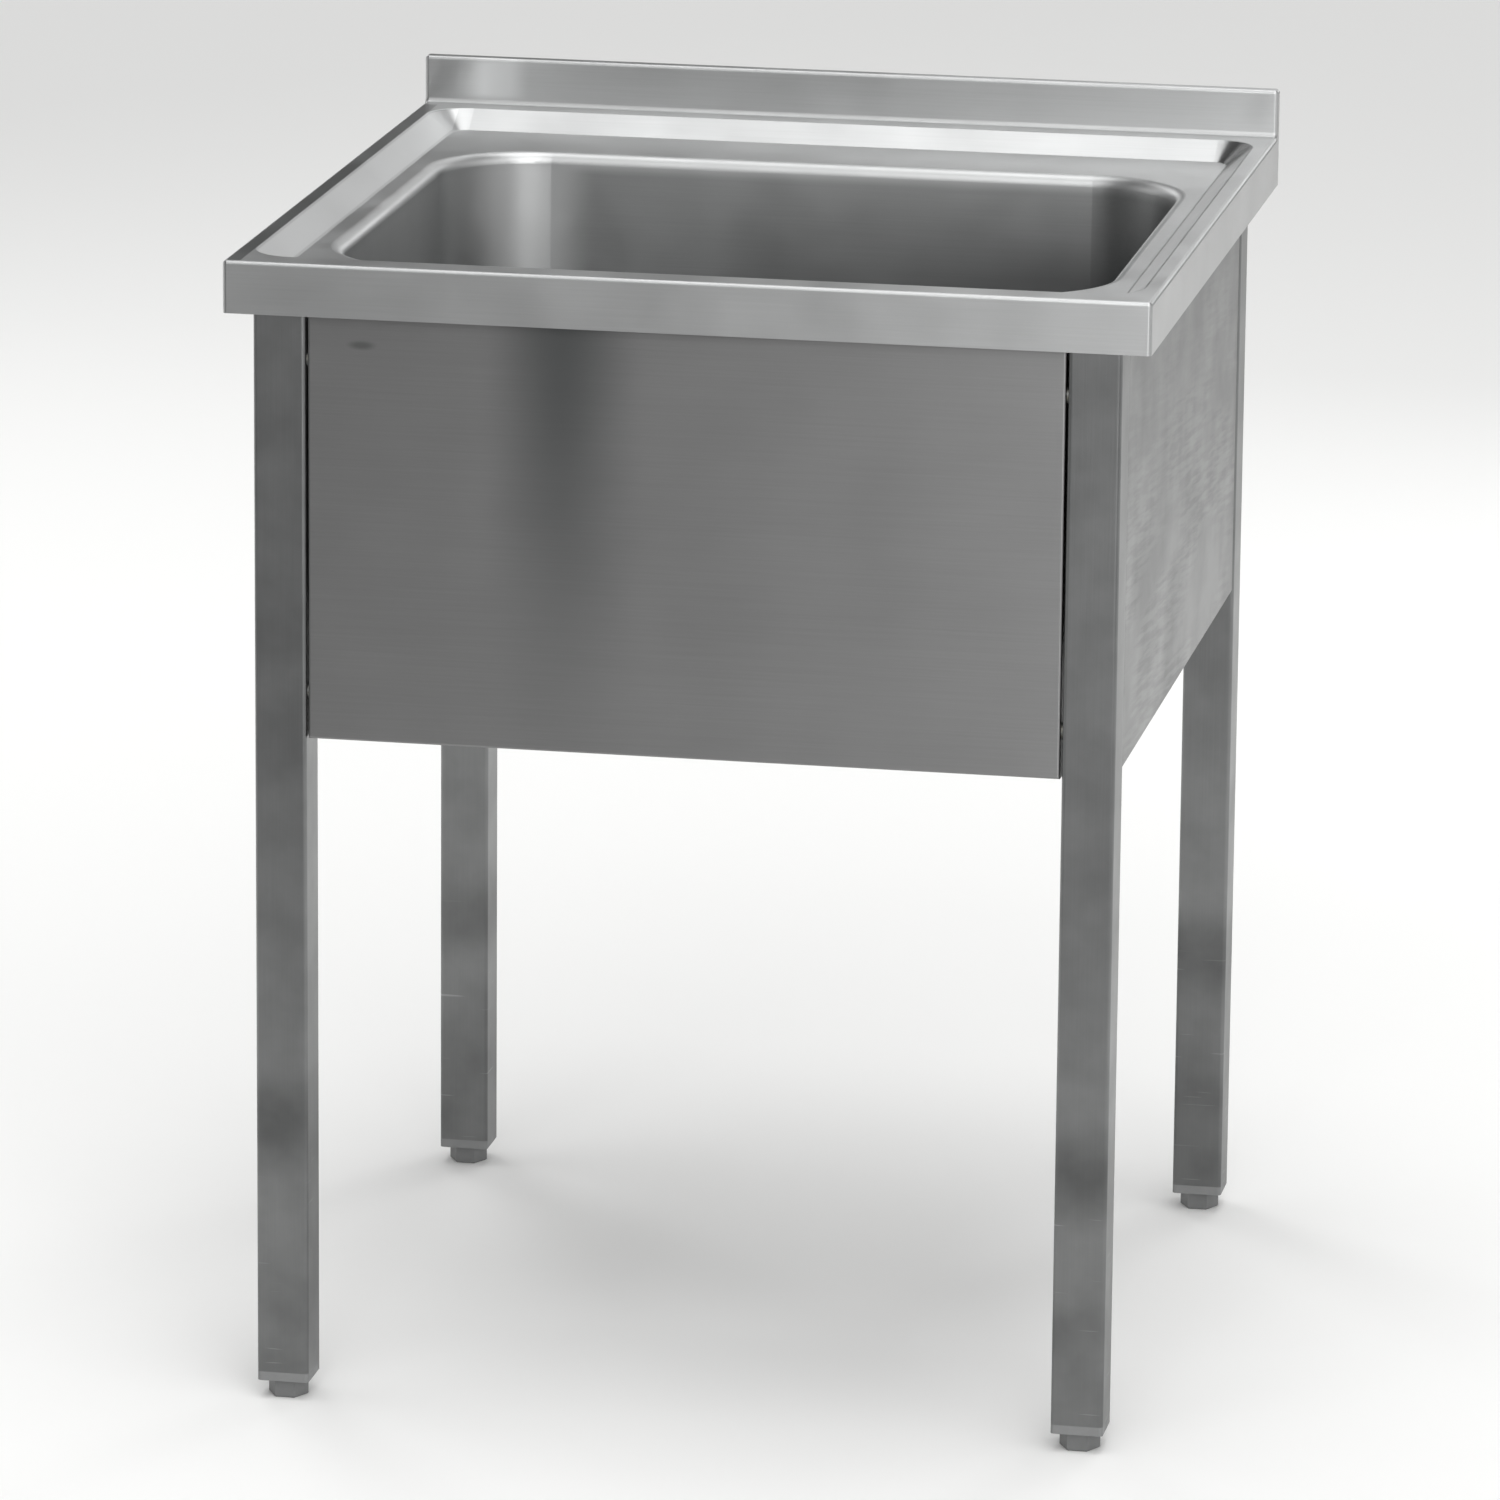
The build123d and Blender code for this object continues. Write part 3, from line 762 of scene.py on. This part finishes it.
# %% [markdown]
# ## Moulded plastics and rubber
#
# The plugs in the legs and the hexagonal foot pads are glass-filled nylon, moulded in grey: the eye
# reads a dry, even sheen with a fine spark-eroded grain copied from the mould. The waste's nut is
# white polypropylene, slightly waxy. Its seals are black nitrile rubber, the dullest surface here.

# %% Moulded recipe
FLOW_MM = 14.0              # how far apart the tone drifts as the melt flows into the mould
SHEEN_DRIFT = 0.05


def moulded(name, colour, worn_colour, roughness, ior, grain_mm=0.9, relief_mm=0.02):
    """A moulded plastic or rubber with the mould's fine grain and a little drift of tone."""
    material, tree, output, place = new_material(name)
    grain = add_node(
        tree, "ShaderNodeTexNoise", {"Scale": per_metre(grain_mm), "Detail": 2.0}, {"Vector": place}
    )
    flow = add_node(
        tree, "ShaderNodeTexNoise", {"Scale": per_metre(FLOW_MM), "Detail": 3.0}, {"Vector": place}
    )
    tone = add_node(
        tree,
        "ShaderNodeMix",
        {6: linear(colour), 7: linear(worn_colour)},
        {"Factor": flow.outputs["Fac"]},
        data_type="RGBA",
    )
    sheen = add_node(
        tree,
        "ShaderNodeMapRange",
        {
            "From Min": 0.3,
            "From Max": 0.7,
            "To Min": roughness - SHEEN_DRIFT,
            "To Max": roughness + SHEEN_DRIFT,
        },
        {"Value": flow.outputs["Fac"]},
    )
    relief = add_node(
        tree, "ShaderNodeBump", {"Distance": relief_mm * MM}, {"Height": grain.outputs["Fac"]}
    )
    body = add_node(
        tree,
        "ShaderNodeBsdfPrincipled",
        {"IOR": ior},
        {
            "Base Color": tone.outputs[2],
            "Roughness": sheen.outputs["Result"],
            "Normal": relief.outputs["Normal"],
        },
    )
    tree.links.new(body.outputs["BSDF"], output.inputs["Surface"])
    return material


plug_nylon = moulded("nylon_plug_moulded_grey", "#7E7F7F", "#747575", 0.5, ior=1.53)
pad_nylon = moulded("nylon_foot_moulded_grey", "#727373", "#666767", 0.5, ior=1.53)
nut_plastic = moulded("polypropylene_nut_moulded_white", "#E6E6E1", "#DCDCD6", 0.42, ior=1.49)
seal_rubber = moulded(
    "nitrile_rubber_seal_moulded_black", "#202121", "#2A2B2A", 0.75, ior=1.52, grain_mm=0.6
)
paint(plug_nylon, *[f"plug_{corner}" for corner in CORNERS])
paint(pad_nylon, *[f"foot_pad_{corner}" for corner in CORNERS])
paint(nut_plastic, "waste_nut")
paint(seal_rubber, "waste_seal", "waste_washer")
print("moulded:", [m.name for m in (plug_nylon, pad_nylon, nut_plastic, seal_rubber)])

# %% [markdown]
# ## Turned and polished steel of the waste
#
# The waste's body is turned on a lathe and its rim polished. The tool leaves rings round the axis,
# about 0.3 mm apart, which show as a faint spiral shine. The strainer grid is stamped and then
# tumbled, which leaves it bright with tiny nicks.

# %% Waste materials
TURNING_MM = 0.3
TURNING_DEPTH_MM = 0.01
grid_low, grid_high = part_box("waste_grid")
DRAIN = Vector(((grid_low[0] + grid_high[0]) / 2, (grid_low[1] + grid_high[1]) / 2, 0))

turned_steel, tree, output, place = new_material("stainless_turned_polished")
from_axis = add_node(tree, "ShaderNodeVectorMath", {1: DRAIN}, {0: place}, operation="SUBTRACT")
axes = add_node(tree, "ShaderNodeSeparateXYZ", links={"Vector": from_axis.outputs[0]})
flat = add_node(
    tree, "ShaderNodeCombineXYZ", links={"X": axes.outputs["X"], "Y": axes.outputs["Y"]}
)
radius = add_node(tree, "ShaderNodeVectorMath", links={0: flat.outputs[0]}, operation="LENGTH")
travel = add_node(
    tree, "ShaderNodeMath", links={0: radius.outputs["Value"], 1: axes.outputs["Z"]}, operation="ADD"
)
tool_marks = add_node(
    tree,
    "ShaderNodeTexNoise",
    {"Scale": per_metre(TURNING_MM), "Detail": 1.0},
    {"W": travel.outputs[0]},
    noise_dimensions="1D",
)
tool_gloss = add_node(
    tree,
    "ShaderNodeMapRange",
    {"To Min": 0.29, "To Max": 0.4},
    {"Value": tool_marks.outputs["Fac"]},
)
tool_relief = add_node(
    tree, "ShaderNodeBump", {"Distance": TURNING_DEPTH_MM * MM}, {"Height": tool_marks.outputs["Fac"]}
)
steel = add_node(
    tree,
    "ShaderNodeBsdfPrincipled",
    {"Base Color": linear("#C5C6C6"), "Metallic": 1.0},
    {"Roughness": tool_gloss.outputs["Result"], "Normal": tool_relief.outputs["Normal"]},
)
tree.links.new(steel.outputs["BSDF"], output.inputs["Surface"])
grid_steel = plain_metal(
    "stainless_stamped_tumbled", "#C5C6C6", "#B5B6B6", 0.36, patch_mm=3.0, dent_mm=0.01
)
paint(turned_steel, "waste_body")
paint(grid_steel, "waste_grid")
print("waste:", turned_steel.name, grid_steel.name, "axis at", [round(c, 4) for c in DRAIN])

# %% [markdown]
# ## Threads
#
# The measured model carries plain cylinders where the real pieces have threads. A thread is a groove
# that climbs once round the axis for each pitch. The rows of a turned mesh make it directly: each
# vertex moves towards the axis by a depth that depends on its height less its share of a turn.
# Displacement by a texture could do it too, but it needs many more faces for the same crispness.

# %% A helper that turns a profile and cuts threads
ROWS_PER_TURN = 8
FLAT_SHARE = 0.1            # of the pitch is flat at the crest, and as much at the root
MERGE_DISTANCE = 1e-7
SHARP_ANGLE = 35            # degrees


def groove(turns):
    """Depth of a 60 degree thread, 0 on the crest and 1 at the root, after so many turns."""
    ramp = abs(2 * (turns % 1) - 1)
    return min(max((ramp - FLAT_SHARE) / (1 - 2 * FLAT_SHARE), 0.0), 1.0)


def turned(name, centre, outline, columns):
    """A closed outline of (radius, height, thread pitch, thread depth) turned about centre.

    A pitch above 0 threads the stretch from that point to the next one.
    """
    rows = []
    for (r, z, pitch, depth), (r_next, z_next, *_) in zip(outline, outline[1:] + outline[:1]):
        steps = round(abs(z_next - z) / pitch * ROWS_PER_TURN) if pitch else 1
        for step in range(steps):
            share = step / steps
            runout = min(1.0, min(step, steps - step) / ROWS_PER_TURN)
            rows.append((r + (r_next - r) * share, z + (z_next - z) * share, pitch, depth * runout))
    points = []
    for r, z, pitch, depth in rows:
        for column in range(columns):
            turn = column / columns
            cut = depth * groove(z / pitch - turn) if pitch else 0.0
            angle = 2 * math.pi * turn
            points.append(
                (centre.x + (r - cut) * math.cos(angle), centre.y + (r - cut) * math.sin(angle), z)
            )
    faces = []
    for row in range(len(rows)):
        following = (row + 1) % len(rows)
        for column in range(columns):
            beside = (column + 1) % columns
            faces.append([
                row * columns + column,
                row * columns + beside,
                following * columns + beside,
                following * columns + column,
            ])
    mesh = bpy.data.meshes.new(name)
    mesh.from_pydata(points, [], faces)
    shape = bmesh.new()
    shape.from_mesh(mesh)
    bmesh.ops.remove_doubles(shape, verts=shape.verts, dist=MERGE_DISTANCE)
    bmesh.ops.recalc_face_normals(shape, faces=shape.faces)
    shape.to_mesh(mesh)
    shape.free()
    mesh.polygons.foreach_set("use_smooth", [True] * len(mesh.polygons))
    mesh.set_sharp_from_angle(angle=math.radians(SHARP_ANGLE))
    piece = bpy.data.objects.new(name, mesh)
    bpy.context.scene.collection.objects.link(piece)
    return piece


print("a 60 degree thread's groove:", [groove(t / 8) for t in range(8)])

# %% The four foot studs, M10 with a 1.5 mm pitch
STUD_PITCH = 1.5 * MM
STUD_THREAD_DEPTH = 0.92 * MM
STUD_BEVEL = 0.8 * MM
STUD_COLUMNS = 32

for corner in CORNERS:
    low, high = [Vector(c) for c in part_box(f"foot_stud_{corner}")]
    centre = (low + high) / 2
    outer = (high.x - low.x) / 2
    outline = [
        (0.0, low.z, 0, 0),
        (outer - STUD_BEVEL, low.z, 0, 0),
        (outer, low.z + STUD_BEVEL, STUD_PITCH, STUD_THREAD_DEPTH),
        (outer, high.z - STUD_BEVEL, 0, 0),
        (outer - STUD_BEVEL, high.z, 0, 0),
        (0.0, high.z, 0, 0),
    ]
    stud = turned(f"threaded_stud_{corner}", centre, outline, STUD_COLUMNS)
    stud.data.materials.append(zinc)
    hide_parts(f"foot_stud_{corner}")
    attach(stud, f"stud_{corner}")
    print(stud.name, len(stud.data.polygons), "faces")

# %% The waste body: flange, clamping thread and G 1 1/2 outlet
FLANGE_ROUND = 1.5 * MM
BORE = 20.0 * MM
GRID_SEAT = 30.0 * MM
GRID_SEAT_DEPTH = 1.5 * MM
FLANGE_THICKNESS = 3.0 * MM
CLAMP_RADIUS = 26.0 * MM
CLAMP_PITCH = 2.0 * MM
CLAMP_DEPTH = 1.2 * MM
OUTLET_TOP = 552.0 * MM
OUTLET_RADIUS = 23.9 * MM
OUTLET_PITCH = 25.4 / 11 * MM       # eleven threads to the inch
OUTLET_DEPTH = 1.48 * MM
OUTLET_BEVEL = 1.0 * MM
WASTE_COLUMNS = 128

low, high = [Vector(c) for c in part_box("waste_body")]
flange = (high.x - low.x) / 2
under_flange = high.z - FLANGE_THICKNESS
rounded = [
    (
        flange - FLANGE_ROUND + FLANGE_ROUND * math.cos(math.radians(a)),
        high.z - FLANGE_ROUND + FLANGE_ROUND * math.sin(math.radians(a)),
        0,
        0,
    )
    for a in (0, 22.5, 45, 67.5, 90)
]
outline = [
    (BORE, low.z, 0, 0),
    (OUTLET_RADIUS - OUTLET_BEVEL, low.z, 0, 0),
    (OUTLET_RADIUS, low.z + OUTLET_BEVEL, OUTLET_PITCH, OUTLET_DEPTH),
    (OUTLET_RADIUS, OUTLET_TOP, 0, 0),
    (CLAMP_RADIUS, OUTLET_TOP, CLAMP_PITCH, CLAMP_DEPTH),
    (CLAMP_RADIUS, under_flange, 0, 0),
    (flange, under_flange, 0, 0),
    *rounded,
    (GRID_SEAT, high.z, 0, 0),
    (GRID_SEAT, high.z - GRID_SEAT_DEPTH, 0, 0),
    (BORE, high.z - GRID_SEAT_DEPTH, 0, 0),
]
waste = turned("threaded_waste_body", DRAIN, outline, WASTE_COLUMNS)
waste.data.materials.append(turned_steel)
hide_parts("waste_body")
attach(waste, "sink")
print(waste.name, len(waste.data.polygons), "faces")

# %% [markdown]
# ## The floor
#
# The sink stands on a sheet of pale matt paper. Beyond the paper, in front of the sink, the studio
# floor is a darker grey, which is what the sink's front mirrors.

# %% Lay the floor
FLOOR_RADIUS = 9.0
PAPER = "#F6F6F5"
STUDIO_FLOOR = "#9A9A9A"
PAPER_Y = -0.5              # metres; behind this line the floor is all paper
STUDIO_FLOOR_Y = -2.1       # and in front of this one it is all studio floor

bpy.ops.mesh.primitive_circle_add(vertices=128, radius=FLOOR_RADIUS, fill_type="NGON")
floor = bpy.context.object
floor.name = "studio_floor"
floor_material, tree, output, place = new_material("paper_matt_pale")
axes = add_node(tree, "ShaderNodeSeparateXYZ", links={"Vector": place})
reach = add_node(
    tree,
    "ShaderNodeMapRange",
    {"From Min": STUDIO_FLOOR_Y, "From Max": PAPER_Y},
    {"Value": axes.outputs["Y"]},
    interpolation_type="SMOOTHSTEP",
)
floor_colour = add_node(
    tree,
    "ShaderNodeMix",
    {6: linear(STUDIO_FLOOR), 7: linear(PAPER)},
    {"Factor": reach.outputs["Result"]},
    data_type="RGBA",
)
paper = add_node(
    tree,
    "ShaderNodeBsdfPrincipled",
    {"Roughness": 0.9, "Specular IOR Level": 0.0},
    {"Base Color": floor_colour.outputs[2]},
)
tree.links.new(paper.outputs["BSDF"], output.inputs["Surface"])
floor.data.materials.append(floor_material)
print("floor radius", FLOOR_RADIUS, "m")

# %% [markdown]
# ## Light
#
# Polished metal is lit by what it mirrors, so the lamps are placed where the sink's faces look. The
# front faces mirror the room in front and a little to the left, and the top mirrors the room behind.
# In the photograph both turn from dark on the left to bright on the right, so the tall soft panels
# start near the middle and go on to the right. A soft light overhead whitens the slope at the back,
# and a large one high at the back left does the same for the slope at the right.
#
# A softbox here is set by its radiance, the brightness of its face, because that is what a mirror
# shows. A lamp's power is its radiance times pi times its area.

# %% The room
# Each number is the room's brightness in some direction. A direction's parts run from -1 to 1.
ROOM_GLOW = 0.05            # everywhere
RIGHT_GLOW = 0.2            # more towards the right
WINDOW_GLOW = 1.5           # a wide bright window in front, to the right
WALL_GLOW = 0.5             # pale walls at the far left and right

world = bpy.data.worlds.new("studio_room")
bpy.context.scene.world = world
world.use_nodes = True
tree = world.node_tree
tree.nodes.clear()
direction = add_node(tree, "ShaderNodeTexCoord").outputs["Generated"]
axes = add_node(tree, "ShaderNodeSeparateXYZ", links={"Vector": direction})
rightwards = add_node(
    tree,
    "ShaderNodeMapRange",
    {"From Min": -0.3, "From Max": 0.6, "To Min": ROOM_GLOW, "To Max": ROOM_GLOW + RIGHT_GLOW},
    {"Value": axes.outputs["X"]},
    interpolation_type="SMOOTHSTEP",
)
right_of_middle = add_node(
    tree,
    "ShaderNodeMapRange",
    {"From Min": -0.25, "From Max": 0.05, "To Max": WINDOW_GLOW},
    {"Value": axes.outputs["X"]},
    interpolation_type="SMOOTHSTEP",
)
in_front = add_node(
    tree,
    "ShaderNodeMapRange",
    {"From Min": 0.0, "From Max": -0.7},
    {"Value": axes.outputs["Y"]},
    interpolation_type="SMOOTHSTEP",
)
sideways = add_node(tree, "ShaderNodeMath", links={0: axes.outputs["X"]}, operation="ABSOLUTE")
walls = add_node(
    tree,
    "ShaderNodeMapRange",
    {"From Min": 0.55, "From Max": 0.9, "To Max": WALL_GLOW},
    {"Value": sideways.outputs[0]},
    interpolation_type="SMOOTHSTEP",
)
around = add_node(
    tree,
    "ShaderNodeMath",
    links={0: rightwards.outputs["Result"], 1: walls.outputs["Result"]},
    operation="ADD",
)
glow = add_node(
    tree,
    "ShaderNodeMath",
    links={0: right_of_middle.outputs["Result"], 1: in_front.outputs["Result"], 2: around.outputs[0]},
    operation="MULTIPLY_ADD",
)
room = add_node(tree, "ShaderNodeBackground", links={"Strength": glow.outputs[0]})
sky_output = add_node(tree, "ShaderNodeOutputWorld")
tree.links.new(room.outputs["Background"], sky_output.inputs["Surface"])
print("room:", ROOM_GLOW, "to", ROOM_GLOW + RIGHT_GLOW + WINDOW_GLOW)


# %% The lamps
def softbox(name, place, target, width, height, radiance):
    """A soft rectangular lamp that shines from place to target and is itself out of the picture."""
    light = bpy.data.lights.new(name, "AREA")
    light.shape = "RECTANGLE"
    light.size = width
    light.size_y = height
    light.energy = radiance * math.pi * width * height
    lamp = bpy.data.objects.new(name, light)
    lamp.location = place
    lamp.rotation_euler = (Vector(target) - Vector(place)).to_track_quat("-Z", "Y").to_euler()
    lamp.visible_camera = False
    bpy.context.scene.collection.objects.link(lamp)


FRONT_Y, FRONT_Z, FRONT_HEIGHT = -4.2, 1.95, 1.2
BACK_Y, BACK_Z, BACK_HEIGHT = 3.2, 1.75, 1.5
OVERHEAD_ENERGY = 1.22
OVERHEAD_SPREAD = 45        # degrees across, as a broad soft ceiling

for name, x, width, radiance in (
    ("front_left_strip", -1.35, 0.3, 1.6),
    ("front_dim_strip", -0.7, 0.5, 0.75),
    ("front_strip", -0.2, 0.5, 4.1),
    ("front_panel", 0.4, 0.7, 1.95),
    ("front_right_panel", 1.5, 1.5, 3.1),
):
    softbox(name, (x, FRONT_Y, FRONT_Z), (x, 0.0, 1.0), width, FRONT_HEIGHT, radiance)
for name, x, width, radiance in (
    ("back_panel", 0.4, 1.0, 0.5),
    ("back_right_panel", 1.5, 1.2, 2.4),
    ("back_far_panel", 2.8, 1.4, 0.25),
):
    softbox(name, (x, BACK_Y, BACK_Z), (x, 0.0, 0.9), width, BACK_HEIGHT, radiance)
softbox("back_left_softbox", (-2.3, 2.9, 2.8), (0.3, 0.0, 0.88), 1.4, 2.2, 2.6)
softbox("left_softbox", (-3.0, 0.0, 1.4), (0.0, 0.0, 0.7), 2.0, 1.6, 0.7)
softbox("right_softbox", (3.0, 0.0, 1.4), (0.0, 0.0, 0.7), 2.0, 1.6, 0.2)
softbox("low_front_softbox", (0.6, -2.3, 0.45), (0.4, 0.0, 0.6), 0.9, 0.9, 0.9)
softbox("high_front_softbox", (0.0, -1.9, 2.5), (0.0, 0.0, 0.8), 2.4, 1.2, 1.6)
softbox("high_back_softbox", (0.6, 2.6, 3.2), (0.0, 0.0, 0.88), 2.4, 1.2, 1.4)
overhead = bpy.data.lights.new("overhead_softbox", "SUN")
overhead.energy = OVERHEAD_ENERGY
overhead.angle = math.radians(OVERHEAD_SPREAD)
bpy.context.scene.collection.objects.link(bpy.data.objects.new("overhead_softbox", overhead))

# %% Finish
bpy.context.scene.view_settings.view_transform = "Standard"
